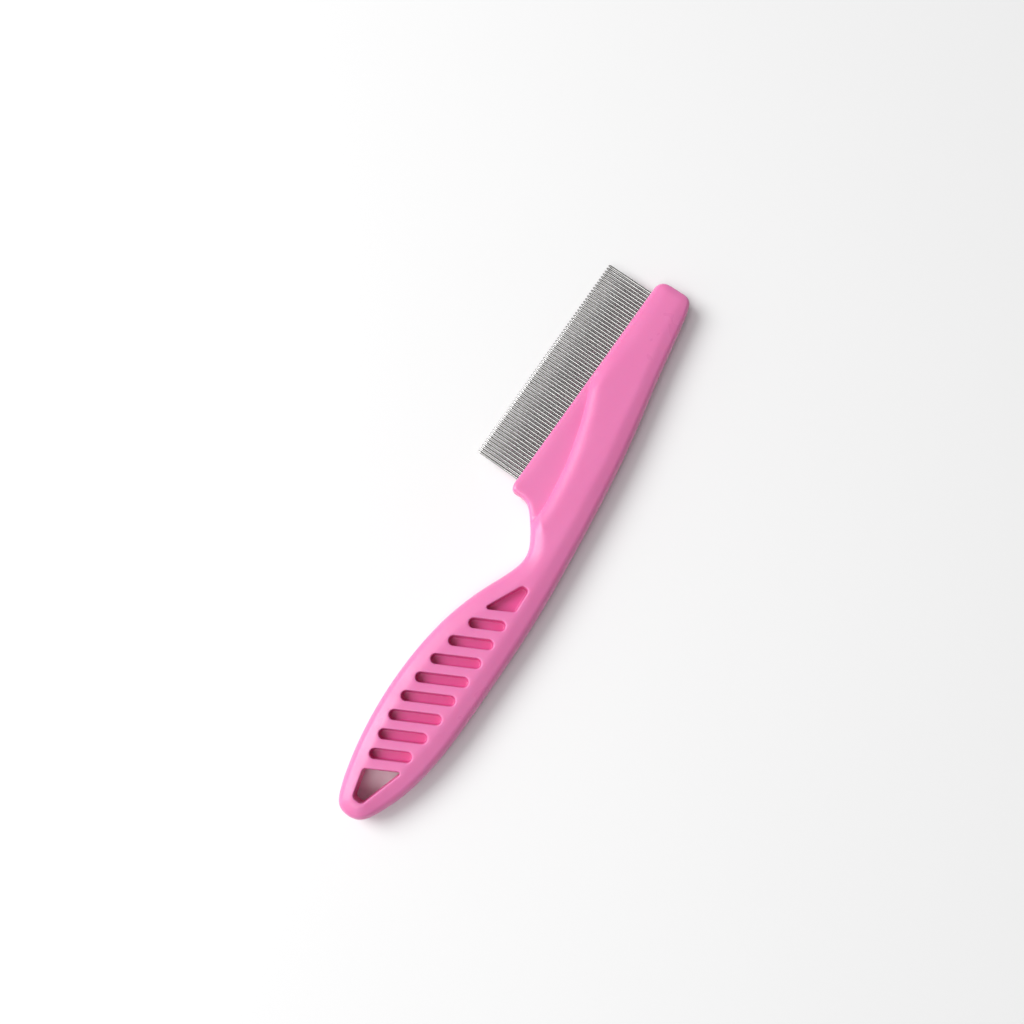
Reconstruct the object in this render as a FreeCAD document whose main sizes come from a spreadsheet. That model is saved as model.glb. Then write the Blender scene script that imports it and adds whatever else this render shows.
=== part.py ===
import FreeCAD, Part
import Sketcher
import math
import os

# Single-row fine-tooth comb with a moulded plastic grip.
#
# One plastic moulding (leaf-shaped grip, neck, tapered comb head with a thinner
# web on the tooth side) holds one row of straight, round steel wire pins. The
# pins are insert moulded, so each one fills its own blind bore exactly.
#
# Plan axes: +X runs along the comb from the butt of the grip to the tip of the
# head, +Y points towards the tips of the teeth, +Z is up. The comb lies on the
# flat underside of its grip. The plan dimensions below start at the butt; the
# placements move them so that the origin is the centre of the bounding box at
# the level of the underside. All lengths are in millimetres.

doc = FreeCAD.newDocument("flea_comb")
Vector = FreeCAD.Vector

# ---------------------------------------------------------------- spreadsheet
sheet = doc.addObject("Spreadsheet::Sheet", "dims")
sheet.Label = "dims"
cells = {}
row_counter = [0]


def cell(alias, value, note=""):
    row_counter[0] += 1
    row = row_counter[0]
    sheet.set("A%d" % row, alias)
    sheet.set("B%d" % row, repr(round(float(value), 6)))
    sheet.set("C%d" % row, note)
    sheet.setAlias("B%d" % row, alias)
    cells[alias] = float(value)


cell("centre_x", 86.34, "plan position of the origin")
cell("centre_y", 24.36, "plan position of the origin")
cell("grip_thick", 9.0, "thickness of the grip and the neck")
cell("tip_thick", 6.0, "thickness of the head at its tip")
cell("taper_start", 108.0, "where the head starts to get thinner")
cell("tip_x", 172.0, "tip of the head")
cell("edge_round", 2.0, "radius along the outer edges")
cell("web_thick", 4.2, "thickness of the web that holds the teeth")
cell("membrane", 2.4, "plastic left between opposite recesses of the grip")
cell("slot_width", 2.78, "width of the recesses of the grip")
cell("slot_angle", 118.6, "direction of the recesses")
cell("pin_diam", 0.8, "wire diameter")
cell("pin_pitch", 1.03, "distance between two teeth")
cell("pin_length", 20.4, "whole length of a tooth, buried end included")
cell("pin_tip_diam", 0.5, "diameter where the rounded point starts")
cell("pin_taper", 0.9, "length of the tapered point")
cell("first_pin", 100.2, "axis of the first tooth")
cell("first_tip", 44.26, "tip of the first tooth")
cell("row_rise", 0.0245, "slope of the line of tips")

# centre, centre and overall length of the eight cross recesses of the grip
slots = [
    (19.73, 14.15, 11.15),
    (25.51, 14.50, 12.85),
    (31.31, 14.78, 13.95),
    (37.23, 14.90, 14.45),
    (43.25, 14.82, 14.15),
    (49.35, 14.68, 13.55),
    (55.62, 14.30, 12.05),
    (62.03, 13.61, 9.90),
]
for number, (sx, sy, length) in enumerate(slots, 1):
    cell("slot%d_x" % number + "pos", sx)
    cell("slot%d_y" % number + "pos", sy)
    cell("slot%d_len" % number, length)
doc.recompute()

HALF = cells["grip_thick"] / 2.0
PINS = 66

# ------------------------------------------------------------------- outlines
# Thick part of the moulding in plan, from the tip corner at the tooth edge round
# the tip, along the back of the comb, round the butt, along the tooth side of
# the grip and the neck, and along the step between the spine and the web.
tooth_edge_end = (167.6, 31.06)
spine_end = (140.6, 30.82)
outline = [
    tooth_edge_end,
    (169.2, 30.98), (170.5, 30.45), (171.35, 29.5), (171.72, 28.3), (171.85, 26.8),
    (171.88, 25.2), (171.93, 23.6), (171.88, 22.05), (171.3, 20.75), (170.0, 19.82),
    (168.2, 19.18), (165.6, 18.55), (162.0, 17.82), (156.0, 16.65), (148.0, 15.12),
    (140.0, 13.42), (132.0, 11.7), (124.0, 10.12), (116.0, 8.78), (108.0, 7.62),
    (100.0, 6.55), (92.0, 5.62), (84.0, 4.75), (76.0, 3.98), (68.0, 3.42),
    (60.0, 3.08), (52.0, 2.92), (44.0, 2.82), (36.0, 2.8), (29.0, 2.98),
    (22.0, 3.62), (16.0, 4.65), (11.0, 6.05), (7.0, 7.62), (4.5, 8.8),
    (2.7, 9.95), (1.5, 11.3), (0.95, 12.8), (0.75, 14.3), (0.85, 15.8),
    (1.4, 17.3), (2.7, 18.65), (4.8, 19.75), (7.8, 20.9), (11.8, 22.08),
    (16.5, 23.22), (22.0, 24.22), (28.0, 24.98), (34.0, 25.4), (40.0, 25.5),
    (46.0, 25.25), (52.0, 24.65), (58.0, 23.65), (63.0, 22.38), (67.5, 20.96),
    (71.5, 19.4), (75.0, 17.95), (78.2, 16.75), (81.0, 16.05), (83.6, 16.0),
    (86.0, 16.6), (88.6, 17.9), (91.5, 19.1), (95.0, 19.6), (99.7, 19.85),
    (104.2, 20.45), (109.1, 21.3), (114.4, 22.5), (119.0, 23.8), (123.4, 25.2),
    (127.2, 26.65), (130.5, 28.05), (133.6, 29.4), (136.8, 30.4), spine_end,
]

# Free edge of the web, from inside the neck round the shoulder of the tooth edge.
tooth_edge_start = (98.5, 30.45)
shoulder = [
    (88.0, 17.0), (89.3, 18.3), (90.8, 19.55), (92.6, 21.0), (94.4, 22.55), (95.7, 24.1),
    (96.3, 25.8), (96.35, 27.4), (96.3, 28.7), (96.75, 29.85), tooth_edge_start,
]
web_roots = [(145.0, 27.0), (128.0, 20.0), (108.0, 15.0), (90.0, 14.0)]

# corner points and corner radii of the two end openings of the grip
hang_hole = [(5.5, 15.93, 1.4), (12.97, 18.08, 0.9), (18.2, 8.9, 0.6), (5.35, 12.88, 1.4)]
neck_recess = [(64.65, 17.2, 0.6), (76.0, 11.95, 1.2), (76.05, 9.75, 1.1), (69.05, 9.35, 1.2)]


def rounded_polygon(points):
    """Lines and arcs of a closed polygon with a radius at each corner."""
    count = len(points)
    corners = []
    for i in range(count):
        p = Vector(points[i][0], points[i][1], 0)
        a = Vector(points[i - 1][0], points[i - 1][1], 0) - p
        b = Vector(points[(i + 1) % count][0], points[(i + 1) % count][1], 0) - p
        a.normalize()
        b.normalize()
        radius = points[i][2]
        half = a.getAngle(b) / 2.0
        cut = radius / math.tan(half)
        bisector = a + b
        bisector.normalize()
        centre = p + bisector * (radius / math.sin(half))
        corners.append((p + a * cut, centre - bisector * radius, p + b * cut))
    shapes = []
    for i in range(count):
        start, middle, end = corners[i]
        shapes.append(Part.Arc(start, middle, end))
        shapes.append(Part.LineSegment(end, corners[(i + 1) % count][0]))
    return shapes


def through_points(points):
    curve = Part.BSplineCurve()
    curve.interpolate([Vector(x, y, 0) for x, y in points])
    return curve


def in_spans(curve, breaks):
    """The same curve as a chain of shorter ones, smooth where they meet."""
    knots = curve.getKnots()
    chain = []
    for first, last in zip(breaks, breaks[1:]):
        piece = curve.copy()
        piece.segment(knots[first], knots[last])
        chain.append(piece)
    return chain


def origin_plane(body, role):
    for feature in body.Origin.OriginFeatures:
        if getattr(feature, "Role", "") == role:
            return feature
    raise RuntimeError("no plane " + role)


def new_sketch(body, name, role="XY_Plane", offset=None):
    sketch = body.newObject("Sketcher::SketchObject", name)
    sketch.AttachmentSupport = [(origin_plane(body, role), "")]
    sketch.MapMode = "FlatFace"
    if offset is not None:
        sketch.AttachmentOffset = offset
    return sketch


def expect_less(feature, before, what):
    doc.recompute()
    after = feature.Shape.Volume
    if not after < before - 1e-3:
        raise RuntimeError(what + " removed nothing")
    return after


# -------------------------------------------------------------- handle moulding
blank = doc.addObject("PartDesign::Body", "handle_blank")
blank.Label = "handle_blank"

sk_outline = new_sketch(blank, "outline_sketch")
for piece in in_spans(through_points(outline), (0, 16, 30, 44, 60, len(outline) - 1)):
    sk_outline.addGeometry(piece, False)
sk_outline.addGeometry(
    Part.LineSegment(Vector(spine_end[0], spine_end[1], 0),
                     Vector(tooth_edge_end[0], tooth_edge_end[1], 0)), False)
doc.recompute()

pad = blank.newObject("PartDesign::Pad", "moulding_pad")
pad.Profile = sk_outline
pad.Midplane = True
pad.setExpression("Length", "dims.grip_thick")
doc.recompute()
volume = pad.Shape.Volume
print("pad", round(volume, 1), pad.Shape.isValid())

# The head gets thinner towards its tip along a long shallow arc, on both faces.
start = cells["taper_start"]
drop = (cells["grip_thick"] - cells["tip_thick"]) / 2.0
reach = cells["tip_x"] - start
radius = (reach * reach + drop * drop) / (2.0 * drop)
end_x = cells["tip_x"] + 4.0
end_angle = math.asin((end_x - start) / radius)
p_start = Vector(start, HALF, 0)
p_end = Vector(end_x, HALF - radius + radius * math.cos(end_angle), 0)
p_mid = Vector(start + radius * math.sin(end_angle / 2.0),
               HALF - radius + radius * math.cos(end_angle / 2.0), 0)
sk_taper = new_sketch(blank, "taper_sketch", "XZ_Plane")
sk_taper.addGeometry(Part.Arc(p_start, p_mid, p_end), False)
sk_taper.addGeometry(Part.LineSegment(p_end, Vector(end_x, HALF + 3, 0)), False)
sk_taper.addGeometry(Part.LineSegment(Vector(end_x, HALF + 3, 0), Vector(start, HALF + 3, 0)), False)
sk_taper.addGeometry(Part.LineSegment(Vector(start, HALF + 3, 0), p_start), False)
doc.recompute()
taper = blank.newObject("PartDesign::Pocket", "taper_cut")
taper.Profile = sk_taper
taper.Type = "ThroughAll"
taper.Midplane = True
volume = expect_less(taper, volume, "taper")
taper_pair = blank.newObject("PartDesign::Mirrored", "taper_cut_mirror")
taper_pair.Originals = [taper]
taper_pair.MirrorPlane = (origin_plane(blank, "XY_Plane"), [""])
blank.Tip = taper_pair
volume = expect_less(taper_pair, volume, "lower taper")
print("taper", round(volume, 1), taper_pair.Shape.isValid())


def edge_names(shape, wanted):
    names = []
    for index, edge in enumerate(shape.Edges, 1):
        if wanted(edge):
            names.append("Edge%d" % index)
    return names


def level(edge):
    """heights of an edge above the middle plane, at its ends and inside it"""
    first, last = edge.ParameterRange
    return [abs(edge.valueAt(first + (last - first) * k / 4.0).z) for k in range(5)]


# Soft edges all round, on both faces.
outer = edge_names(taper_pair.Shape, lambda e: min(level(e)) > cells["tip_thick"] / 2.0 - 0.3
                   and e.Length > 1.0
                   and not (abs(e.valueAt(e.ParameterRange[0]).x - start) < 1e-3
                            and abs(e.valueAt(e.ParameterRange[1]).x - start) < 1e-3))
print("outer edges", outer)
rounding = blank.newObject("PartDesign::Fillet", "edge_rounding")
rounding.Base = (taper_pair, outer)
rounding.setExpression("Radius", "dims.edge_round")
volume = expect_less(rounding, volume, "edge rounding")
print("rounded", round(volume, 1), rounding.Shape.isValid())

# The web: a thinner plate in the middle of the thickness, on the tooth side.
sk_web = new_sketch(blank, "web_sketch")
sk_web.addGeometry(through_points(shoulder), False)
edge_x = 145.0
edge_y = tooth_edge_start[1] + (edge_x - tooth_edge_start[0]) * (
    tooth_edge_end[1] - tooth_edge_start[1]) / (tooth_edge_end[0] - tooth_edge_start[0])
corners = [tooth_edge_start, (edge_x, edge_y - 0.01)] + web_roots + [shoulder[0]]
for a, b in zip(corners, corners[1:]):
    sk_web.addGeometry(Part.LineSegment(Vector(a[0], a[1], 0), Vector(b[0], b[1], 0)), False)
doc.recompute()
web = blank.newObject("PartDesign::Pad", "web_pad")
web.Profile = sk_web
web.Midplane = True
web.setExpression("Length", "dims.web_thick")
blank.Tip = web
doc.recompute()
if not web.Shape.Volume > volume + 1.0:
    raise RuntimeError("web added nothing")
volume = web.Shape.Volume
print("web", round(volume, 1), web.Shape.isValid(), len(web.Shape.Solids))

# Cross recesses and the tapered neck recess, blind from both faces.
floor_lift = FreeCAD.Placement(Vector(0, 0, cells["membrane"] / 2.0), FreeCAD.Rotation())
sk_slots = new_sketch(blank, "recess_sketch", offset=floor_lift)
sk_slots.setExpression("AttachmentOffset.Base.z", "dims.membrane / 2")
turn = math.radians(cells["slot_angle"])
along = Vector(math.cos(turn), math.sin(turn), 0)
across = Vector(-math.sin(turn), math.cos(turn), 0)
half_width = cells["slot_width"] / 2.0
for number, (sx, sy, length) in enumerate(slots, 1):
    reach_half = length / 2.0 - half_width
    c_far = Vector(sx, sy, 0) + along * reach_half
    c_near = Vector(sx, sy, 0) - along * reach_half
    g = sk_slots.addGeometry([
        Part.Arc(c_far - across * half_width, c_far + along * half_width, c_far + across * half_width),
        Part.LineSegment(c_far + across * half_width, c_near + across * half_width),
        Part.Arc(c_near + across * half_width, c_near - along * half_width, c_near - across * half_width),
        Part.LineSegment(c_near - across * half_width, c_far - across * half_width)], False)
    arc_a, line_a, arc_b, line_b = g

    def ends(index):
        geo = sk_slots.Geometry[index]
        return geo.StartPoint, geo.EndPoint

    for arc in (arc_a, arc_b):
        for line in (line_a, line_b):
            best = None
            for pa in (1, 2):
                for pl in (1, 2):
                    gap = ends(arc)[pa - 1].distanceToPoint(ends(line)[pl - 1])
                    if best is None or gap < best[0]:
                        best = (gap, pa, pl)
            sk_slots.addConstraint(Sketcher.Constraint("Tangent", arc, best[1], line, best[2]))
    for tag, arc, sign, centre in (("a", arc_a, "+", c_far), ("b", arc_b, "-", c_near)):
        name = "s%d%s" % (number, tag)
        for axis, kind, trig, value in (("x", "DistanceX", "cos", centre.x), ("y", "DistanceY", "sin", centre.y)):
            k = sk_slots.addConstraint(Sketcher.Constraint(kind, -1, 1, arc, 3, value))
            sk_slots.renameConstraint(k, name + axis)
            sk_slots.setExpression(
                "Constraints." + name + axis,
                "dims.slot%d_%spos %s (dims.slot%d_len - dims.slot_width) / 2 * %s(dims.slot_angle * 1 deg)"
                % (number, axis, sign, number, trig))
        k = sk_slots.addConstraint(Sketcher.Constraint("Radius", arc, half_width))
        sk_slots.renameConstraint(k, name + "r")
        sk_slots.setExpression("Constraints." + name + "r", "dims.slot_width / 2")
for shape in rounded_polygon(neck_recess):
    sk_slots.addGeometry(shape, False)
doc.recompute()
recess = blank.newObject("PartDesign::Pocket", "recess_cut")
recess.Profile = sk_slots
recess.Type = "ThroughAll"
recess.Reversed = True
volume = expect_less(recess, volume, "recesses")
recess_pair = blank.newObject("PartDesign::Mirrored", "recess_cut_mirror")
recess_pair.Originals = [recess]
recess_pair.MirrorPlane = (origin_plane(blank, "XY_Plane"), [""])
blank.Tip = recess_pair
volume = expect_less(recess_pair, volume, "lower recesses")
print("recesses", round(volume, 1), recess_pair.Shape.isValid(), len(recess_pair.Shape.Solids))

# Hanging hole, right through the butt of the grip.
sk_hole = new_sketch(blank, "hanging_hole_sketch")
for shape in rounded_polygon(hang_hole):
    sk_hole.addGeometry(shape, False)
doc.recompute()
hole = blank.newObject("PartDesign::Pocket", "hanging_hole")
hole.Profile = sk_hole
hole.Type = "ThroughAll"
hole.Midplane = True
blank.Tip = hole
volume = expect_less(hole, volume, "hanging hole")
print("hole", round(volume, 1), hole.Shape.isValid(), len(hole.Shape.Solids))

PLACE_X = "-dims.centre_x"
PLACE_Y = "-dims.centre_y"
blank.setExpression("Placement.Base.x", PLACE_X)
blank.setExpression("Placement.Base.y", PLACE_Y)
blank.setExpression("Placement.Base.z", "dims.grip_thick / 2")

# ------------------------------------------------------------------------ teeth
# Straight wire pins with a slender rounded point. Two neighbours share a node.
pin_r = cells["pin_diam"] / 2.0
tip_r = cells["pin_tip_diam"] / 2.0
pin_len = cells["pin_length"]
pin_taper = cells["pin_taper"]
teeth = []
for first in range(0, PINS, 2):
    name = "teeth_%02d_%02d" % (first + 1, first + 2)
    body = doc.addObject("PartDesign::Body", name)
    body.Label = name
    if hasattr(body, "AllowCompound"):
        body.AllowCompound = True
    sk = new_sketch(body, name + "_profile")
    # half profile: sketch x is the radius, sketch y runs along the tooth
    pts = [Vector(0, -pin_len, 0), Vector(pin_r, -pin_len, 0), Vector(pin_r, -pin_taper, 0),
           Vector(tip_r, -tip_r, 0)]
    bottom, side, cone, nose, axis_line = sk.addGeometry([
        Part.LineSegment(pts[0], pts[1]),
        Part.LineSegment(pts[1], pts[2]),
        Part.LineSegment(pts[2], pts[3]),
        Part.ArcOfCircle(Part.Circle(Vector(0, -tip_r, 0), Vector(0, 0, 1), tip_r), 0, math.pi / 2),
        Part.LineSegment(Vector(0, 0, 0), pts[0])], False)
    for a, pa, b, pb in ((bottom, 2, side, 1), (side, 2, cone, 1), (cone, 2, nose, 1),
                         (nose, 2, axis_line, 1), (axis_line, 2, bottom, 1), (axis_line, 1, -1, 1)):
        sk.addConstraint(Sketcher.Constraint("Coincident", a, pa, b, pb))
    sk.addConstraint(Sketcher.Constraint("Horizontal", bottom))
    sk.addConstraint(Sketcher.Constraint("Vertical", side))
    sk.addConstraint(Sketcher.Constraint("Vertical", axis_line))
    sk.addConstraint(Sketcher.Constraint("PointOnObject", nose, 3, -2))
    sk.addConstraint(Sketcher.Constraint("DistanceY", cone, 2, nose, 3, 0.0))
    for tag, constraint, formula in (
            ("wire_radius", Sketcher.Constraint("DistanceX", bottom, 1, bottom, 2, pin_r), "dims.pin_diam / 2"),
            ("whole_length", Sketcher.Constraint("DistanceY", axis_line, 2, axis_line, 1, pin_len), "dims.pin_length"),
            ("taper_length", Sketcher.Constraint("DistanceY", cone, 1, axis_line, 1, pin_taper), "dims.pin_taper"),
            ("nose_radius", Sketcher.Constraint("Radius", nose, tip_r), "dims.pin_tip_diam / 2")):
        k = sk.addConstraint(constraint)
        sk.renameConstraint(k, tag)
        sk.setExpression("Constraints." + tag, formula)
    turned = body.newObject("PartDesign::Revolution", name + "_wire")
    turned.Profile = sk
    turned.ReferenceAxis = (sk, ["V_Axis"])
    turned.Angle = 360.0
    doc.recompute([sk, turned])
    pattern = body.newObject("PartDesign::LinearPattern", name + "_pattern")
    pattern.Originals = [turned]
    pattern.Direction = (sk, ["H_Axis"])
    pattern.setExpression("Length", "dims.pin_pitch")
    pattern.Occurrences = 2
    body.Tip = pattern
    body.setExpression("Placement.Base.x", "dims.first_pin + %d * dims.pin_pitch - dims.centre_x" % first)
    body.setExpression("Placement.Base.y",
                       "dims.first_tip + %.1f * dims.pin_pitch * dims.row_rise - dims.centre_y" % (first + 0.5))
    body.setExpression("Placement.Base.z", "dims.grip_thick / 2")
    teeth.append(body)
doc.recompute()

# The plastic has been moulded round the buried ends of the pins.
row = doc.addObject("Part::Compound", "tooth_row")
row.Links = teeth
row.Label = "tooth_row"
handle = doc.addObject("Part::Cut", "handle")
handle.Label = "handle"
handle.Base = blank
handle.Tool = row
doc.recompute()

# ----------------------------------------------------------------------- checks
nodes = [handle] + teeth
problems = []
for obj in doc.Objects:
    state = list(obj.State)
    if "Invalid" in state or "Error" in state:
        problems.append("%s: %s" % (obj.Name, state))
for obj in nodes:
    if obj.Shape.isNull() or not obj.Shape.isValid():
        problems.append(obj.Label + ": bad shape")
if problems:
    raise RuntimeError("; ".join(problems))
if len(handle.Shape.Solids) != 1:
    raise RuntimeError("the handle is not one solid")
for body in teeth:
    if len(body.Shape.Solids) != 2:
        raise RuntimeError(body.Label + " is not two pins: %d" % len(body.Shape.Solids))

os.makedirs("parts", exist_ok=True)
for obj in nodes:
    obj.Shape.exportStep(os.path.join("parts", obj.Label + ".step"))

total = handle.Shape.BoundBox
for body in teeth:
    total.add(body.Shape.BoundBox)
print("nodes", len(nodes))
print("box x %.3f %.3f  y %.3f %.3f  z %.3f %.3f" % (
    total.XMin, total.XMax, total.YMin, total.YMax, total.ZMin, total.ZMax))
print("handle volume %.1f mm3, one pair %.2f mm3" % (handle.Shape.Volume, teeth[0].Shape.Volume))
com = handle.Shape.Solids[0].CenterOfMass
print("handle centre of mass", [round(v, 2) for v in com])
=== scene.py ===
import bpy
import math
import numpy as np
from mathutils import Matrix, Vector
from mathutils.geometry import delaunay_2d_cdt


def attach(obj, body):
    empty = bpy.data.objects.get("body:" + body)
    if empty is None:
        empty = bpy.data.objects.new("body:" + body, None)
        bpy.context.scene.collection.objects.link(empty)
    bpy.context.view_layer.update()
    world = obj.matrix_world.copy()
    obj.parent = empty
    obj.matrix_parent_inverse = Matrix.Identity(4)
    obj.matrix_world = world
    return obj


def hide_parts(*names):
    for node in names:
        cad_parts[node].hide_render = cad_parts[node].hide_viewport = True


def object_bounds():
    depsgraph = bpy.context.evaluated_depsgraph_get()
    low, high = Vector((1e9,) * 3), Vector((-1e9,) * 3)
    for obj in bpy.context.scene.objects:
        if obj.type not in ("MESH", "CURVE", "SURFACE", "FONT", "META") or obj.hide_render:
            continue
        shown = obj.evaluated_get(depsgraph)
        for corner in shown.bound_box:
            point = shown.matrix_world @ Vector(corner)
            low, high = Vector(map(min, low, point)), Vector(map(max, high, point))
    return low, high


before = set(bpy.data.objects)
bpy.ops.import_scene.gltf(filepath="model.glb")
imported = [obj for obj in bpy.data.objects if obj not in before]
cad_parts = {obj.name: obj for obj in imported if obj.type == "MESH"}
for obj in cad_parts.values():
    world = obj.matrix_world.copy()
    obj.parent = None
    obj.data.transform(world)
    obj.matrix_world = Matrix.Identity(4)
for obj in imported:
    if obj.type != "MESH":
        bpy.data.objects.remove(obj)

cad_lo, cad_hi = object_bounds()

# Plan dimensions are in millimetres and run from the butt of the grip, like the
# design. They are moved to the frame and turned into metres at the end.
CX, CY = 86.34, 24.36
HALF = 4.5


def to_frame(x, y, z_from_middle):
    return ((x - CX) / 1000.0, (y - CY) / 1000.0, (z_from_middle + HALF) / 1000.0)


# ------------------------------------------------------------------ camera
def make_camera():
    f = 1060.0
    nadir = np.array([488.0, 712.0])
    centre = np.array([512.0, 512.0])
    n = np.array([*(nadir - centre), f])
    n /= np.linalg.norm(n)
    ex = np.array([1.0, 0.0, 0.0]) - n * n[0]
    ex /= np.linalg.norm(ex)
    ey = np.cross(-n, ex)
    a = math.radians(54.5)
    X = math.cos(a) * ex + math.sin(a) * ey
    Y = -math.sin(a) * ex + math.cos(a) * ey
    Z = -n
    right = Vector((X[0], Y[0], Z[0]))
    down = Vector((X[1], Y[1], Z[1]))
    forward = Vector((X[2], Y[2], Z[2]))
    cam = bpy.data.cameras.new("camera")
    cam.sensor_width = 36.0
    cam.lens = f / 1024.0 * 36.0
    cam.clip_start = 0.01
    cam.clip_end = 50.0
    obj = bpy.data.objects.new("camera", cam)
    bpy.context.scene.collection.objects.link(obj)
    rot = Matrix((right, -down, -forward)).transposed()
    obj.matrix_world = Matrix.Translation(Vector(to_frame(43.49, 0.0, 288.2))) @ rot.to_4x4()
    bpy.context.scene.camera = obj
    return obj


make_camera()

# ------------------------------------------------------------------ outlines
TOOTH_START = (98.5, 30.45)
TOOTH_END = (167.6, 31.06)
# x, y, width of the soft edge there, height of the side wall under it
OUTLINE = [
    (167.6, 31.06, 4.0, 1.0), (169.2, 30.98, 3.0, 1.0), (170.5, 30.45, 3.0, 1.0),
    (171.35, 29.5, 2.5, 1.0), (171.72, 28.3, 2.5, 1.0), (171.85, 26.8, 2.5, 1.0),
    (171.88, 25.2, 2.5, 1.0), (171.93, 23.6, 2.5, 1.0), (171.88, 22.05, 2.5, 1.0),
    (171.3, 20.75, 2.8, 1.0), (170.0, 19.82, 3.3, 0.9), (168.2, 19.18, 3.81, 0.9),
    (165.6, 18.55, 4.05, 0.9), (162.0, 17.82, 4.19, 0.9), (156.0, 16.65, 4.38, 0.9),
    (148.0, 15.12, 4.5, 0.9), (140.0, 13.42, 4.5, 0.9), (132.0, 11.7, 4.7, 0.9),
    (124.0, 10.12, 4.77, 0.9), (116.0, 8.78, 4.71, 0.9), (108.0, 7.62, 4.86, 0.9),
    (100.0, 6.55, 5.02, 0.9), (92.0, 5.62, 5.08, 0.9), (84.0, 4.75, 5.18, 0.9),
    (76.0, 3.98, 5.29, 0.9), (68.0, 3.42, 5.31, 0.9), (60.0, 3.08, 5.32, 0.9),
    (52.0, 2.92, 5.33, 0.9), (44.0, 2.82, 5.34, 0.9), (36.0, 2.8, 5.35, 0.9),
    (29.0, 2.98, 5.36, 0.9), (22.0, 3.62, 5.37, 0.9), (16.0, 4.65, 5.38, 0.9),
    (11.0, 6.05, 5.39, 0.9), (7.0, 7.62, 4.7, 0.95), (4.5, 8.8, 4.1, 1.0),
    (2.7, 9.95, 3.7, 1.0), (1.5, 11.3, 3.7, 1.0), (0.95, 12.8, 3.7, 1.0),
    (0.75, 14.3, 3.7, 1.0), (0.85, 15.8, 3.7, 1.0), (1.4, 17.3, 3.7, 1.0),
    (2.7, 18.65, 3.7, 1.0), (4.8, 19.75, 4.1, 1.0), (7.8, 20.9, 4.7, 0.95),
    (11.8, 22.08, 5.1, 0.9), (16.5, 23.22, 5.1, 0.9), (22.0, 24.22, 5.1, 0.9),
    (28.0, 24.98, 5.1, 0.9), (34.0, 25.4, 5.1, 0.9), (40.0, 25.5, 5.1, 0.9),
    (46.0, 25.25, 5.1, 0.9), (52.0, 24.65, 5.1, 0.9), (58.0, 23.65, 5.1, 0.9),
    (63.0, 22.38, 5.1, 0.9), (67.5, 20.96, 5.0, 0.9), (71.5, 19.4, 5.0, 0.9),
    (75.0, 17.95, 4.8, 0.9), (78.2, 16.75, 4.3, 0.9), (81.0, 16.05, 4.3, 0.9),
    (83.6, 16.0, 4.3, 0.9), (86.0, 16.65, 4.3, 0.9), (88.4, 17.95, 3.9, 0.95),
    (90.6, 19.45, 3.0, 1.0), (92.6, 21.0, 1.8, 1.05), (94.4, 22.55, 1.2, 1.1),
    (95.7, 24.1, 0.95, 1.15), (96.3, 25.8, 0.95, 1.15), (96.35, 27.4, 0.95, 1.15),
    (96.3, 28.7, 0.95, 1.15), (96.75, 29.85, 0.95, 1.15), (98.5, 30.45, 1.3, 1.1),
]
RIDGE = [
    (84.0, 21.0), (88.0, 20.3), (92.0, 20.0), (96.4, 19.92), (99.7, 20.17), (102.9, 20.54),
    (106.0, 21.04), (109.1, 21.57), (112.1, 22.24), (115.1, 22.96), (118.0, 23.76), (121.0, 24.66),
    (124.0, 25.65), (127.0, 26.8), (130.5, 28.25), (133.6, 29.65), (136.6, 30.75), (140.5, 31.9),
    (146.0, 33.3), (153.0, 35.2),
]
SLOT_W = 2.78
SLOT_ANGLE = 118.6
SLOTS = [
    (19.73, 14.15, 11.15), (25.51, 14.5, 12.85), (31.31, 14.78, 13.95), (37.23, 14.9, 14.45),
    (43.25, 14.82, 14.15), (49.35, 14.68, 13.55), (55.62, 14.3, 12.05), (62.03, 13.61, 9.9),
]
HANG_HOLE = [(5.5, 15.93, 1.4), (12.97, 18.08, 0.9), (18.2, 8.9, 0.6), (5.35, 12.88, 1.4)]
NECK_RECESS = [(64.65, 17.2, 0.6), (76.0, 11.95, 1.2), (76.05, 9.75, 1.1), (69.05, 9.35, 1.2)]


def spline(points, closed=False):
    """Natural cubic spline through rows of points; returns a function of the row number."""
    p = np.array(points, float)
    t = np.concatenate([[0.0], np.cumsum(np.linalg.norm(np.diff(p[:, :2], axis=0), axis=1))])
    count = len(p)
    step = np.diff(t)
    A = np.zeros((count, count))
    b = np.zeros_like(p)
    A[0, 0] = A[-1, -1] = 1.0
    for i in range(1, count - 1):
        A[i, i - 1] = step[i - 1]
        A[i, i] = 2 * (step[i - 1] + step[i])
        A[i, i + 1] = step[i]
        b[i] = 6 * ((p[i + 1] - p[i]) / step[i] - (p[i] - p[i - 1]) / step[i - 1])
    m = np.linalg.solve(A, b)

    def at(u):
        u = np.clip(np.asarray(u, float), 0.0, t[-1])
        i = np.clip(np.searchsorted(t, u, side="right") - 1, 0, count - 2)
        d = step[i][:, None]
        a0 = ((t[i + 1] - u))[:, None]
        a1 = ((u - t[i]))[:, None]
        return (m[i] * a0 ** 3 + m[i + 1] * a1 ** 3) / (6 * d) + (p[i] / d - m[i] * d / 6) * a0 + (p[i + 1] / d - m[i + 1] * d / 6) * a1

    return at, t[-1]


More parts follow.
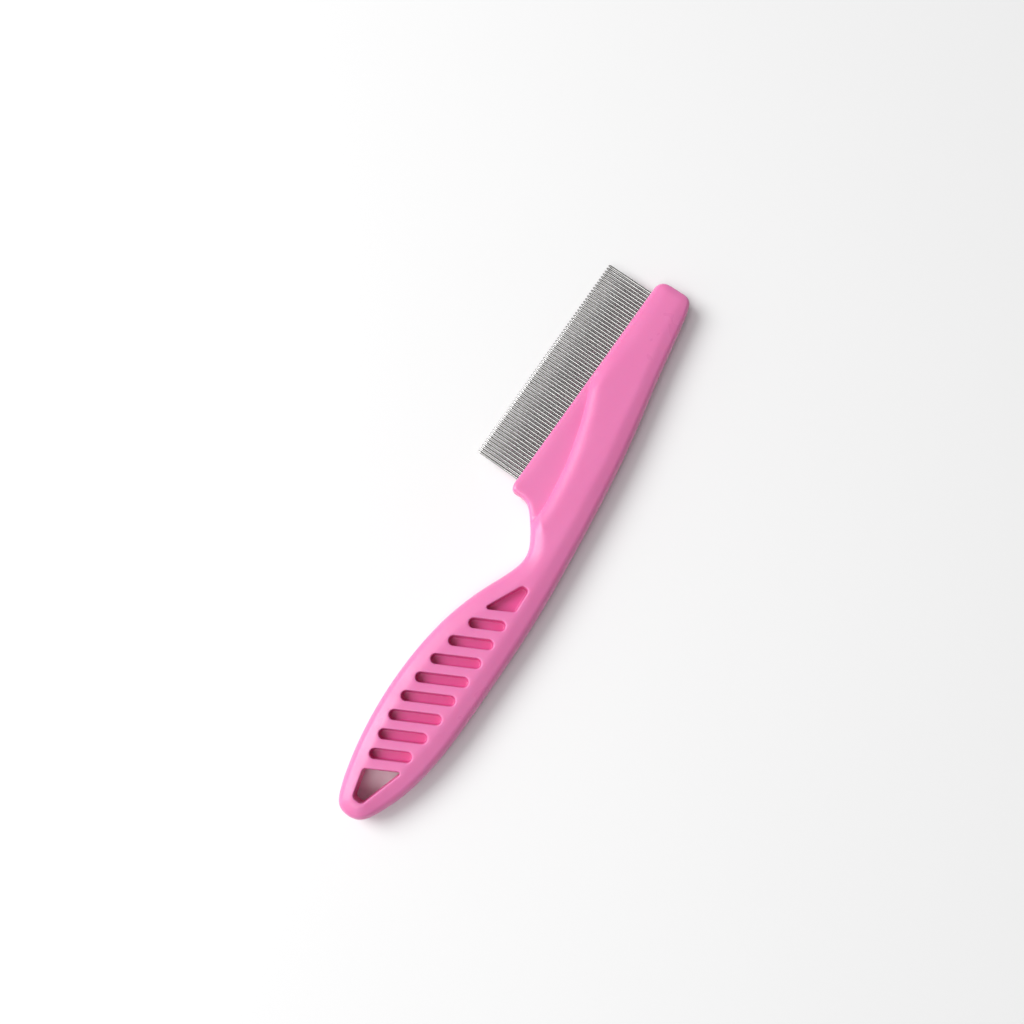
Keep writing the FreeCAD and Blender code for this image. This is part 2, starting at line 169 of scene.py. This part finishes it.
def closed_outline():
    at, length = spline(OUTLINE)
    fine = at(np.linspace(0, length, 6000))
    x, y = fine[:, 0], fine[:, 1]
    # denser where the outline turns quickly
    d = np.gradient(fine[:, :2], axis=0)
    ang = np.unwrap(np.arctan2(d[:, 1], d[:, 0]))
    ds = np.linalg.norm(d, axis=1)
    curv = np.abs(np.gradient(ang)) / ds
    want = np.clip(0.16 / np.maximum(curv, 1e-6), 0.22, 0.62)
    kernel = np.ones(81) / 81
    want = np.convolve(np.pad(want, 40, mode="edge"), kernel, mode="valid")
    w = np.concatenate([[0], np.cumsum(0.5 * (ds[1:] / want[1:] + ds[:-1] / want[:-1]))])
    count = int(round(w[-1]))
    idx = np.interp(np.linspace(0, w[-1], count + 1), w, np.arange(len(w)))
    pts = np.stack([np.interp(idx, np.arange(len(w)), fine[:, k]) for k in range(4)], axis=1)
    # straight tooth edge back to the start
    a = np.array([*TOOTH_START, 0.0, 0.0])
    b = np.array([*TOOTH_END, 0.0, 0.0])
    steps = 138
    t = np.arange(1, steps) / steps
    line = a + (b - a) * t[:, None]
    rx = line[:, 0]
    line[:, 2] = 1.3 + 1.3 * smooth((rx - 98.5) / 6.0) + 1.7 * smooth((rx - 128.0) / 13.0)
    line[:, 3] = 1.1 - 0.1 * smooth((rx - 98.5) / 6.0)
    return np.vstack([pts, line])


def smooth(t):
    t = np.clip(t, 0.0, 1.0)
    return t * t * (3 - 2 * t)


def normals(poly):
    """Inward unit normals of a closed polyline that runs clockwise or not."""
    nxt = np.roll(poly, -1, axis=0) - poly
    prv = poly - np.roll(poly, 1, axis=0)
    nxt /= np.linalg.norm(nxt, axis=1)[:, None]
    prv /= np.linalg.norm(prv, axis=1)[:, None]
    t = nxt + prv
    t /= np.linalg.norm(t, axis=1)[:, None]
    area = 0.5 * np.sum(poly[:, 0] * np.roll(poly[:, 1], -1) - np.roll(poly[:, 0], -1) * poly[:, 1])
    side = 1.0 if area > 0 else -1.0
    return np.stack([-t[:, 1], t[:, 0]], axis=1) * side


def smooth_rows(v, rounds):
    for _ in range(rounds):
        v = 0.25 * np.roll(v, 1, axis=0) + 0.5 * v + 0.25 * np.roll(v, -1, axis=0)
    return v


def rounded_polygon(corners, spacing=0.3):
    out = []
    count = len(corners)
    data = []
    for i in range(count):
        p = np.array(corners[i][:2])
        a = np.array(corners[i - 1][:2]) - p
        b = np.array(corners[(i + 1) % count][:2]) - p
        a /= np.linalg.norm(a)
        b /= np.linalg.norm(b)
        half = 0.5 * math.acos(np.clip(a @ b, -1, 1))
        r = corners[i][2]
        bis = (a + b) / np.linalg.norm(a + b)
        c = p + bis * r / math.sin(half)
        data.append((c, r, p + a * r / math.tan(half), p + b * r / math.tan(half)))
    for i in range(count):
        c, r, s, e = data[i]
        a0 = math.atan2(*(s - c)[::-1])
        a1 = math.atan2(*(e - c)[::-1])
        d = (a1 - a0 + math.pi) % (2 * math.pi) - math.pi
        n = max(5, int(abs(d) * r / spacing * 1.6))
        for k in range(n + 1):
            t = a0 + d * k / n
            out.append(c + r * np.array([math.cos(t), math.sin(t)]))
        nx = data[(i + 1) % count][2]
        n = max(1, int(np.linalg.norm(nx - e) / (spacing * 1.3)))
        for k in range(1, n):
            out.append(e + (nx - e) * k / n)
    return np.array(out)


def slot_outline(cx, cy, length, spacing=0.3):
    a = math.radians(SLOT_ANGLE)
    u = np.array([math.cos(a), math.sin(a)])
    w = SLOT_W / 2
    half = length / 2 - w
    out = []
    c = np.array([cx, cy])
    for sign in (1, -1):
        for k in range(13):
            t = a + (0 if sign > 0 else math.pi) - math.pi / 2 + math.pi * k / 12
            out.append(c + u * sign * half + w * np.array([math.cos(t), math.sin(t)]))
        start = out[-1]
        end = start - u * sign * 2 * half
        n = max(2, int(2 * half / (spacing * 1.4)))
        for k in range(1, n):
            out.append(start + (end - start) * k / n)
    return np.array(out)


# ------------------------------------------------------------------ heights
TAPER_START, TIP_X, DROP = 108.0, 172.0, 1.5
TAPER_R = ((TIP_X - TAPER_START) ** 2 + DROP ** 2) / (2 * DROP)
WEB = 2.1
ridge_at, ridge_len = spline([(x, y) for x, y in RIDGE])
ridge_poly = ridge_at(np.linspace(0, ridge_len, 700))


def signed_to_ridge(p):
    """Distance to the ridge line, positive on the side of the spine."""
    best = np.full(len(p), 1e9)
    sign = np.ones(len(p))
    a = ridge_poly[:-1]
    b = ridge_poly[1:]
    d = b - a
    dd = np.sum(d * d, axis=1)
    for s in range(0, len(p), 2000):
        q = p[s:s + 2000]
        t = np.clip(((q[:, None] - a) * d).sum(2) / dd, 0, 1)
        foot = a + t[..., None] * d
        dist = np.linalg.norm(q[:, None] - foot, axis=2)
        i = dist.argmin(1)
        k = np.arange(len(q))
        cross = d[i, 0] * (q[:, 1] - a[i, 1]) - d[i, 1] * (q[:, 0] - a[i, 0])
        best[s:s + 2000] = dist[k, i]
        sign[s:s + 2000] = np.where(cross > 0, -1.0, 1.0)
    return best * sign


def bar_height(x):
    over = np.maximum(x - TAPER_START, 0.0)
    return HALF - (TAPER_R - np.sqrt(TAPER_R ** 2 - over ** 2))


SHOULDER = 4.0


def base_height(p):
    """Half thickness of the moulding before its outer edge is softened."""
    x = p[:, 0]
    rise = bar_height(x) - WEB
    t = signed_to_ridge(p)
    # sharp crease at the foot of the step, broad round shoulder above it
    u = np.clip(t / SHOULDER, 0.0, 1.0)
    s = np.sqrt(np.maximum(1.0 - (1.0 - u) ** 2, 0.0))
    s = 1.0 - (1.0 - s) * smooth((x - 85.5) / 3.5)
    return WEB + rise * s


# profile of the soft edge: a round rim, a gently sloping flank and a soft crest
flank_u = np.linspace(0.0, 1.15, 400)
flank = np.cumsum(1.0 - smooth((flank_u - 0.74) / 0.36))
flank = (flank - flank[0]) / (flank[-1] - flank[0])


def edge_factor(u, share):
    v = np.clip(u / 0.36, 0.0, 1.0)
    rounded = np.sqrt(np.maximum(1.0 - (1.0 - v) ** 2, 0.0))
    return share * rounded + (1.0 - share) * np.interp(u, flank_u, flank)


def rim_share(xy):
    """Steeper flank on the side away from the pins than on the other side."""
    return np.where(xy[:, 1] < 10.5 + 0.045 * np.maximum(xy[:, 0] - 80.0, 0.0) * 2.2, 0.57, 0.66)


rim = {}


def full_height(p):
    """Half thickness at any place of the moulding, soft outer edge included."""
    d = np.empty(len(p))
    near = np.empty(len(p), int)
    edge = rim["xy"]
    for s in range(0, len(p), 500):
        dist = np.linalg.norm(p[s:s + 500, None] - edge[None], axis=2)
        near[s:s + 500] = dist.argmin(1)
        d[s:s + 500] = dist.min(1)
    wall, width, share = rim["wall"][near], rim["width"][near], rim["share"][near]
    return wall + (base_height(p) - wall) * edge_factor(d / width, share)


# ------------------------------------------------------------------ mesh of the moulding
class Builder:
    def __init__(self):
        self.v = []
        self.f = []
        self.recess_shade = {}

    def ring(self, xy, z):
        start = len(self.v)
        z = np.broadcast_to(z, (len(xy),))
        self.v.extend((float(a), float(b), float(c)) for (a, b), c in zip(xy, z))
        return list(range(start, start + len(xy)))

    def band(self, lower, upper):
        n = len(lower)
        for i in range(n):
            j = (i + 1) % n
            self.f.append((lower[i], lower[j], upper[j], upper[i]))


def inside(poly, pts):
    x, y = pts[:, 0], pts[:, 1]
    res = np.zeros(len(pts), bool)
    a = poly
    b = np.roll(poly, -1, axis=0)
    for (x0, y0), (x1, y1) in zip(a, b):
        c = (y0 > y) != (y1 > y)
        if not c.any():
            continue
        xi = x0 + (y - y0) * (x1 - x0) / (y1 - y0 + 1e-30)
        res ^= c & (x < xi)
    return res


def min_distance(poly, pts):
    out = np.empty(len(pts))
    for s in range(0, len(pts), 1000):
        out[s:s + 1000] = np.linalg.norm(pts[s:s + 1000, None] - poly[None], axis=2).min(1)
    return out


def fill(builder, outer, holes, extra, height):
    """Triangulates between an outer ring and hole rings that already exist, with free points inside."""
    rings = [outer] + holes
    co, edges, known = [], [], []
    for r in rings:
        s = len(co)
        co.extend(builder.v[i][:2] for i in r)
        known.extend(r)
        n = len(r)
        edges.extend((s + i, s + (i + 1) % n) for i in range(n))
    polys = [np.array([builder.v[i][:2] for i in r]) for r in rings]
    if len(extra):
        z = height(extra)
        start = len(builder.v)
        builder.v.extend((float(a), float(b), float(c)) for (a, b), c in zip(extra, z))
        known.extend(range(start, start + len(extra)))
        co.extend(map(tuple, extra))
    verts, _, faces, orig, _, _ = delaunay_2d_cdt([Vector(c) for c in co], edges, [], 0, 1e-7)
    index = []
    for k, o in enumerate(orig):
        if not o:
            raise RuntimeError("unexpected crossing in the plan at %s" % (verts[k],))
        index.append(known[o[0]])
    mid = np.array([[sum(verts[i][c] for i in f) / 3 for c in (0, 1)] for f in faces])
    keep = inside(polys[0], mid)
    for h in polys[1:]:
        keep &= ~inside(h, mid)
    for f, k in zip(faces, keep):
        if not k:
            continue
        f = [index[i] for i in f]
        a, b, c = (builder.v[i] for i in f)
        if (b[0] - a[0]) * (c[1] - a[1]) - (b[1] - a[1]) * (c[0] - a[0]) < 0:
            f.reverse()
        builder.f.append(tuple(f))


def build_half():
    B = Builder()
    ol = closed_outline()
    xy, width, wall = ol[:, :2], ol[:, 2], ol[:, 3]
    area = 0.5 * np.sum(xy[:, 0] * np.roll(xy[:, 1], -1) - np.roll(xy[:, 0], -1) * xy[:, 1])
    if area < 0:
        xy, width, wall = xy[::-1].copy(), width[::-1].copy(), wall[::-1].copy()
    width = smooth_rows(width, 12)
    wall = smooth_rows(wall, 12)
    # finer copy of the rim for measuring distances
    step = np.arange(0, len(xy), 0.25)
    index = np.arange(len(xy) + 1)
    wrap = lambda v: np.interp(step, index, np.append(v, v[0]))
    rim["xy"] = np.stack([wrap(xy[:, 0]), wrap(xy[:, 1])], 1)
    share = smooth_rows(rim_share(xy), 40)
    rim["width"], rim["wall"], rim["share"] = wrap(width), wrap(wall), wrap(share)
    nrm = smooth_rows(normals(xy), 2)
    nrm /= np.linalg.norm(nrm, axis=1)[:, None]
    # side wall from the parting line up, then the soft edge
    rings = []
    for frac, out in ((0.0, 0.035), (0.05, 0.03), (0.09, 0.0)):
        rings.append(B.ring(xy - nrm * out, frac))
    rings.append(B.ring(xy, wall * 0.55))
    steps = 12
    reach = np.minimum(1.3 + 0.7 * smooth((width - 3.9) / 1.0), 0.85 * width)
    for k in range(steps + 1):
        d = reach * (k / steps) ** 2
        q = xy + nrm * d[:, None]
        rings.append(B.ring(q, wall + (base_height(q) - wall) * edge_factor(d / width, share)))
    for a, b in zip(rings, rings[1:]):
        B.band(a, b)
    inner = rings[-1]
    inner_xy = np.array([B.v[i][:2] for i in inner])

    # recesses and the hanging hole
    holes = []
    rims = []
    openings = [(slot_outline(*s), False) for s in SLOTS]
    openings.append((rounded_polygon(NECK_RECESS), False))
    openings.append((rounded_polygon(HANG_HOLE), True))
    for poly, through in openings:
        area = 0.5 * np.sum(poly[:, 0] * np.roll(poly[:, 1], -1) - np.roll(poly[:, 0], -1) * poly[:, 1])
        if area < 0:
            poly = poly[::-1].copy()
        n = normals(poly)          # points into the hole
        rr = 0.38
        ring_list = []
        for k in range(5):
            th = math.pi / 2 * k / 4
            d = rr * (1 - math.sin(th))
            q = poly - n * d
            zz = full_height(q) - rr * (1 - math.cos(th))
            ring_list.append(B.ring(q, zz))
        holes.append(ring_list[0])
        rims.append(poly)
        zt = float(np.min([B.v[i][2] for i in ring_list[-1]]))
        if through:
            for z in (zt * 0.66, zt * 0.33):
                ring_list.append(B.ring(poly + n * 0.40 * (1 - z / zt), z))
            ring_list.append(B.ring(poly + n * 0.40, 0.06))
            ring_list.append(B.ring(poly + n * 0.43, 0.0))
        else:
            floor_z = 1.2
            rf = 0.45
            for part in (0.66, 0.33):
                z = floor_z + rf + (zt - floor_z - rf) * part
                ring_list.append(B.ring(poly + n * 0.12 * (1 - part), z))
            for k in range(5):
                th = math.pi / 2 * k / 4
                ring_list.append(B.ring(poly + n * (0.12 + rf * (1 - math.cos(th))), floor_z + rf * (1 - math.sin(th))))
        for a, b in zip(ring_list[1:], ring_list):
            B.band(b, a)
        # painted shade: how far each vertex lies below the rim, used to darken the plastic's colour inside the recesses
        # and the hanging hole
        for ring in ring_list[4:]:
            for i in ring:
                B.recess_shade[i] = min(1.0, max(0.0, (zt - B.v[i][2]) / 1.8))
        if not through:
            last = ring_list[-1]
            before = len(B.v)
            q = np.array([B.v[i][:2] for i in last])
            lo, hi = q.min(0), q.max(0)
            gx, gy = np.meshgrid(np.arange(lo[0], hi[0], 0.55), np.arange(lo[1], hi[1], 0.55))
            g = np.stack([gx.ravel(), gy.ravel()], 1)
            g = g[inside(q, g)]
            if len(g):
                g = g[min_distance(q, g) > 0.28]
            fill(B, last, [], g, lambda p: np.full(len(p), floor_z))
            # painted shade: every vertex of the recess floor gets the full darkening
            for i in range(before, len(B.v)):
                B.recess_shade[i] = 1.0

    # free points of the faces: an even net, and closer rows along the ridge
    gx, gy = np.meshgrid(np.arange(0, 174, 0.9), np.arange(0, 34, 0.9))
    gx = gx + (np.arange(gy.shape[0]) % 2)[:, None] * 0.45
    g = np.stack([gx.ravel(), gy.ravel()], 1)
    g = g[inside(inner_xy, g)]
    t = signed_to_ridge(g)
    g = g[(t < -1.0) | (t > 4.3)]
    rows = []
    rp = ridge_at(np.arange(0, ridge_len, 0.5))
    tan = np.gradient(rp, axis=0)
    tan /= np.linalg.norm(tan, axis=1)[:, None]
    rn = np.stack([tan[:, 1], -tan[:, 0]], 1)   # towards the spine
    for off in (-0.9, -0.5, -0.22, -0.06, 0.0, 0.05, 0.13, 0.26, 0.44, 0.68, 0.98, 1.34, 1.76, 2.24, 2.8, 3.4, 4.05):
        rows.append(rp + rn * off)
    rows = np.vstack(rows)
    rows = rows[inside(inner_xy, rows)]
    g = np.vstack([g, rows])
    g = g[min_distance(inner_xy, g) > 0.22]
    for r, poly in zip(holes, rims):
        q = np.array([B.v[i][:2] for i in r])
        g = g[~inside(q, g)]
        g = g[min_distance(q, g) > 0.3]
    fill(B, inner, holes, g, full_height)
    return B


def make_moulding():
    B = build_half()
    v = np.array(B.v)
    f = B.f
    n = len(v)
    both = np.vstack([v, v * [1, 1, -1]])
    faces = list(f) + [tuple(i + n for i in reversed(q)) for q in f]
    # the two halves share the vertices of the parting line
    on = np.where(np.abs(v[:, 2]) < 1e-9)[0]
    same = np.arange(2 * n)
    same[on + n] = on
    faces = [tuple(int(same[i]) for i in q) for q in faces]
    # painted shade values for both halves, stored as the recess_depth mesh attribute for the plastic's colour
    recess_shade = np.zeros(n)
    recess_shade[list(B.recess_shade)] = list(B.recess_shade.values())
    recess_shade = np.concatenate([recess_shade, recess_shade])
    used = np.unique(np.concatenate([np.array(q) for q in faces]))
    new = -np.ones(2 * n, int)
    new[used] = np.arange(len(used))
    co = both[used]
    co = (co - [CX, CY, -HALF]) / 1000.0
    mesh = bpy.data.meshes.new("moulding")
    mesh.from_pydata([tuple(c) for c in co], [], [tuple(int(new[i]) for i in q) for q in faces])
    depth = mesh.attributes.new("recess_depth", "FLOAT", "POINT")
    depth.data.foreach_set("value", recess_shade[used].astype(np.float32))
    mesh.update()
    for p in mesh.polygons:
        p.use_smooth = True
    obj = bpy.data.objects.new("moulding", mesh)
    bpy.context.scene.collection.objects.link(obj)
    print("moulding", len(mesh.vertices), len(mesh.polygons))
    return obj


# ------------------------------------------------------------------ materials
def nodes_of(name):
    m = bpy.data.materials.new(name)
    m.use_nodes = True
    nt = m.node_tree
    nt.nodes.clear()
    out = nt.nodes.new("ShaderNodeOutputMaterial")
    bsdf = nt.nodes.new("ShaderNodeBsdfPrincipled")
    nt.links.new(bsdf.outputs[0], out.inputs[0])
    return m, nt, bsdf


def add(nt, kind, **settings):
    node = nt.nodes.new(kind)
    for k, v in settings.items():
        setattr(node, k, v)
    return node


def mix_color(nt, a, b, factor, blend="MIX"):
    node = add(nt, "ShaderNodeMix", data_type="RGBA", blend_type=blend)
    for socket, value in ((node.inputs[6], a), (node.inputs[7], b), (node.inputs[0], factor)):
        if isinstance(value, bpy.types.NodeSocket):
            nt.links.new(value, socket)
        else:
            socket.default_value = value
    return node.outputs[2]


def ramp(nt, source, lo, hi, a, b):
    node = add(nt, "ShaderNodeMapRange", interpolation_type="SMOOTHSTEP")
    nt.links.new(source, node.inputs[0])
    for i, v in zip((1, 2, 3, 4), (lo, hi, a, b)):
        node.inputs[i].default_value = v
    return node.outputs[0]


def math_node(nt, op, a, b=None):
    node = add(nt, "ShaderNodeMath", operation=op)
    for socket, value in zip(node.inputs, (a, b)):
        if value is None:
            continue
        if isinstance(value, bpy.types.NodeSocket):
            nt.links.new(value, socket)
        else:
            socket.default_value = value
    return node.outputs[0]


def noise(nt, vec, scale, detail=3.0, rough=0.5, distortion=0.0):
    node = add(nt, "ShaderNodeTexNoise")
    nt.links.new(vec, node.inputs["Vector"])
    node.inputs["Scale"].default_value = scale
    node.inputs["Detail"].default_value = detail
    node.inputs["Roughness"].default_value = rough
    node.inputs["Distortion"].default_value = distortion
    return node.outputs[0]


def scaled(nt, vec, scale):
    node = add(nt, "ShaderNodeMapping")
    nt.links.new(vec, node.inputs["Vector"])
    node.inputs["Scale"].default_value = scale
    return node.outputs[0]


def pink_plastic():
    m, nt, bsdf = nodes_of("pink_plastic")
    co = add(nt, "ShaderNodeTexCoord").outputs["Object"]
    # slow flow marks along the moulding, fine mottling of the pigment
    flow = noise(nt, scaled(nt, co, (14.0, 60.0, 60.0)), 1.0, 3.0, 0.55, 0.4)
    fine = noise(nt, co, 900.0, 4.0, 0.6)
    base = mix_color(nt, (0.835, 0.211, 0.470, 1), (0.870, 0.235, 0.502, 1), ramp(nt, flow, 0.3, 0.7, 0.0, 1.0))
    base = mix_color(nt, base, (0.89, 0.265, 0.530, 1), ramp(nt, fine, 0.62, 0.8, 0.0, 0.35))
    # lighter colour along convex edges, broken up by noise; the same edges are made rougher further down
    geo = add(nt, "ShaderNodeNewGeometry")
    edge = ramp(nt, geo.outputs["Pointiness"], 0.51, 0.56, 0.0, 0.45)
    edge_noise = noise(nt, co, 260.0, 5.0, 0.65)
    edge = math_node(nt, "MULTIPLY", edge, ramp(nt, edge_noise, 0.35, 0.65, 0.2, 1.0))
    base = mix_color(nt, base, (0.91, 0.325, 0.585, 1), edge)
    # painted shade: the base colour is darkened and made more saturated in the recesses and the hanging hole, more
    # strongly further down. It stands in for the shade and the pink light bouncing between the walls of the same
    # plastic there
    recess_shade = add(nt, "ShaderNodeAttribute", attribute_type="GEOMETRY", attribute_name="recess_depth")
    base = mix_color(nt, base, (0.740, 0.086, 0.318, 1), math_node(nt, "MULTIPLY", recess_shade.outputs["Fac"], 0.85))
    nt.links.new(base, bsdf.inputs["Base Color"])
    # satin gloss with softer worn patches and hairline scratches
    patch = noise(nt, co, 70.0, 3.0, 0.5)
    rough = ramp(nt, patch, 0.3, 0.7, 0.27, 0.36)
    scratch = noise(nt, scaled(nt, co, (60.0, 2600.0, 900.0)), 1.0, 2.0, 0.5, 0.2)
    hair = ramp(nt, scratch, 0.70, 0.74, 0.0, 1.0)
    rough = math_node(nt, "ADD", rough, math_node(nt, "MULTIPLY", hair, 0.05))
    rough = math_node(nt, "ADD", rough, math_node(nt, "MULTIPLY", edge, 0.10))
    nt.links.new(rough, bsdf.inputs["Roughness"])
    peel = noise(nt, co, 520.0, 2.0, 0.5)
    wave = noise(nt, co, 45.0, 2.0, 0.5)
    height = math_node(nt, "ADD", math_node(nt, "MULTIPLY", peel, 0.10), math_node(nt, "MULTIPLY", wave, 1.0))
    bump = add(nt, "ShaderNodeBump")
    bump.inputs["Strength"].default_value = 0.35
    bump.inputs["Distance"].default_value = 0.00012
    nt.links.new(height, bump.inputs["Height"])
    nt.links.new(bump.outputs[0], bsdf.inputs["Normal"])
    bsdf.inputs["IOR"].default_value = 1.49
    bsdf.inputs["Subsurface Weight"].default_value = 0.25
    bsdf.inputs["Subsurface Radius"].default_value = (1.0, 0.25, 0.5)
    bsdf.inputs["Subsurface Scale"].default_value = 0.0020
    bsdf.inputs["Coat Weight"].default_value = 0.0
    return m


POINT_Y = cad_hi[1]


def wire_steel():
    m, nt, bsdf = nodes_of("wire_steel")
    co = add(nt, "ShaderNodeTexCoord").outputs["Object"]
    drawn = noise(nt, scaled(nt, co, (9000.0, 120.0, 9000.0)), 1.0, 2.0, 0.5)
    each = noise(nt, scaled(nt, co, (970.0, 2.0, 2.0)), 1.0, 0.0, 0.5)
    blotch = noise(nt, co, 240.0, 4.0, 0.6)
    base = mix_color(nt, (0.40, 0.396, 0.388, 1), (0.54, 0.532, 0.524, 1), ramp(nt, drawn, 0.3, 0.7, 0.0, 1.0))
    base = mix_color(nt, base, (0.46, 0.45, 0.435, 1), ramp(nt, each, 0.4, 0.6, 0.0, 0.5))
    base = mix_color(nt, base, (0.33, 0.32, 0.308, 1), ramp(nt, blotch, 0.6, 0.8, 0.0, 0.4))
    # painted shade: the colour is darkened towards the points over the last 1.5 mm of each pin, to damp bright glints
    # there; the points are also made rougher
    along = add(nt, "ShaderNodeSeparateXYZ")
    nt.links.new(co, along.inputs[0])
    point = ramp(nt, along.outputs["Y"], POINT_Y - 0.0015, POINT_Y - 0.0008, 0.0, 1.0)
    base = mix_color(nt, base, (0.15, 0.147, 0.142, 1), math_node(nt, "MULTIPLY", point, 0.85))
    nt.links.new(base, bsdf.inputs["Base Color"])
    rough = math_node(nt, "ADD", ramp(nt, drawn, 0.3, 0.7, 0.10, 0.16), ramp(nt, blotch, 0.55, 0.8, 0.0, 0.10))
    rough = math_node(nt, "ADD", rough, math_node(nt, "MULTIPLY", point, 0.30))
    nt.links.new(rough, bsdf.inputs["Roughness"])
    bsdf.inputs["Metallic"].default_value = 1.0
    bump = add(nt, "ShaderNodeBump")
    bump.inputs["Strength"].default_value = 0.25
    bump.inputs["Distance"].default_value = 0.00001
    nt.links.new(drawn, bump.inputs["Height"])
    nt.links.new(bump.outputs[0], bsdf.inputs["Normal"])
    return m


def floor_material():
    m, nt, bsdf = nodes_of("pale_floor")
    co = add(nt, "ShaderNodeTexCoord").outputs["Object"]
    soft = noise(nt, co, 6.0, 2.0, 0.5)
    base = mix_color(nt, (0.94, 0.94, 0.94, 1), (0.96, 0.96, 0.96, 1), soft)
    nt.links.new(base, bsdf.inputs["Base Color"])
    bsdf.inputs["Roughness"].default_value = 0.6
    return m


pink = pink_plastic()
steel = wire_steel()

moulding = make_moulding()
moulding.data.materials.append(pink)
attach(moulding, "root")
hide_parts("handle")
for name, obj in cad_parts.items():
    if name.startswith("teeth_"):
        if obj.data.materials:
            for slot in obj.material_slots:
                slot.material = steel
        else:
            obj.data.materials.append(steel)

# ------------------------------------------------------------------ stage
mesh = bpy.data.meshes.new("floor")
s = 3.0
mesh.from_pydata([(-s, -s, -0.0002), (s, -s, -0.0002), (s, s, -0.0002), (-s, s, -0.0002)], [], [(0, 1, 2, 3)])
floor = bpy.data.objects.new("floor", mesh)
bpy.context.scene.collection.objects.link(floor)
floor.data.materials.append(floor_material())

cam = bpy.context.scene.camera
cam_right = cam.matrix_world.to_3x3() @ Vector((1, 0, 0))
cam_up = cam.matrix_world.to_3x3() @ Vector((0, 1, 0))
flat_right = Vector((cam_right.x, cam_right.y, 0)).normalized()
flat_up = Vector((cam_up.x, cam_up.y, 0)).normalized()


def area_light(name, direction, distance, size, power, color=(1, 1, 1)):
    data = bpy.data.lights.new(name, "AREA")
    data.shape = "DISK"
    data.size = size
    data.energy = power
    data.color = color
    obj = bpy.data.objects.new(name, data)
    obj.location = Vector(direction).normalized() * distance
    obj.rotation_mode = "QUATERNION"
    obj.rotation_quaternion = (-Vector(direction)).to_track_quat("-Z", "Y")
    bpy.context.scene.collection.objects.link(obj)
    return obj


# a bright side of the room on the left of the view, dim everywhere else
world = bpy.data.worlds.new("studio")
bpy.context.scene.world = world
world.use_nodes = True
sky = world.node_tree
bright = (-flat_right * math.cos(math.radians(40)) + Vector((0, 0, math.sin(math.radians(40))))).normalized()
towards = add(sky, "ShaderNodeVectorMath", operation="DOT_PRODUCT")
sky.links.new(add(sky, "ShaderNodeTexCoord").outputs["Generated"], towards.inputs[0])
towards.inputs[1].default_value = bright
lobe = math_node(sky, "POWER", math_node(sky, "MAXIMUM", towards.outputs["Value"], 0.0), 2.5)
strength = math_node(sky, "ADD", math_node(sky, "MULTIPLY", lobe, 0.85), 0.13)
sky.nodes["Background"].inputs[0].default_value = (1.0, 1.0, 1.0, 1)
sky.links.new(strength, sky.nodes["Background"].inputs[1])

# main soft light from the same side
area_light("key", -flat_right * 0.95 + flat_up * 0.30 + Vector((0, 0, 1.03)), 1.5, 0.95, 16.5)
# a smaller one across the pins, so that each of them shows a thin bright line
area_light("side", -flat_right * 0.29 - flat_up * 0.41 + Vector((0, 0, 0.87)), 1.5, 0.60, 4.0)

bpy.context.scene.view_settings.view_transform = "Standard"
bpy.context.scene.view_settings.look = "None"
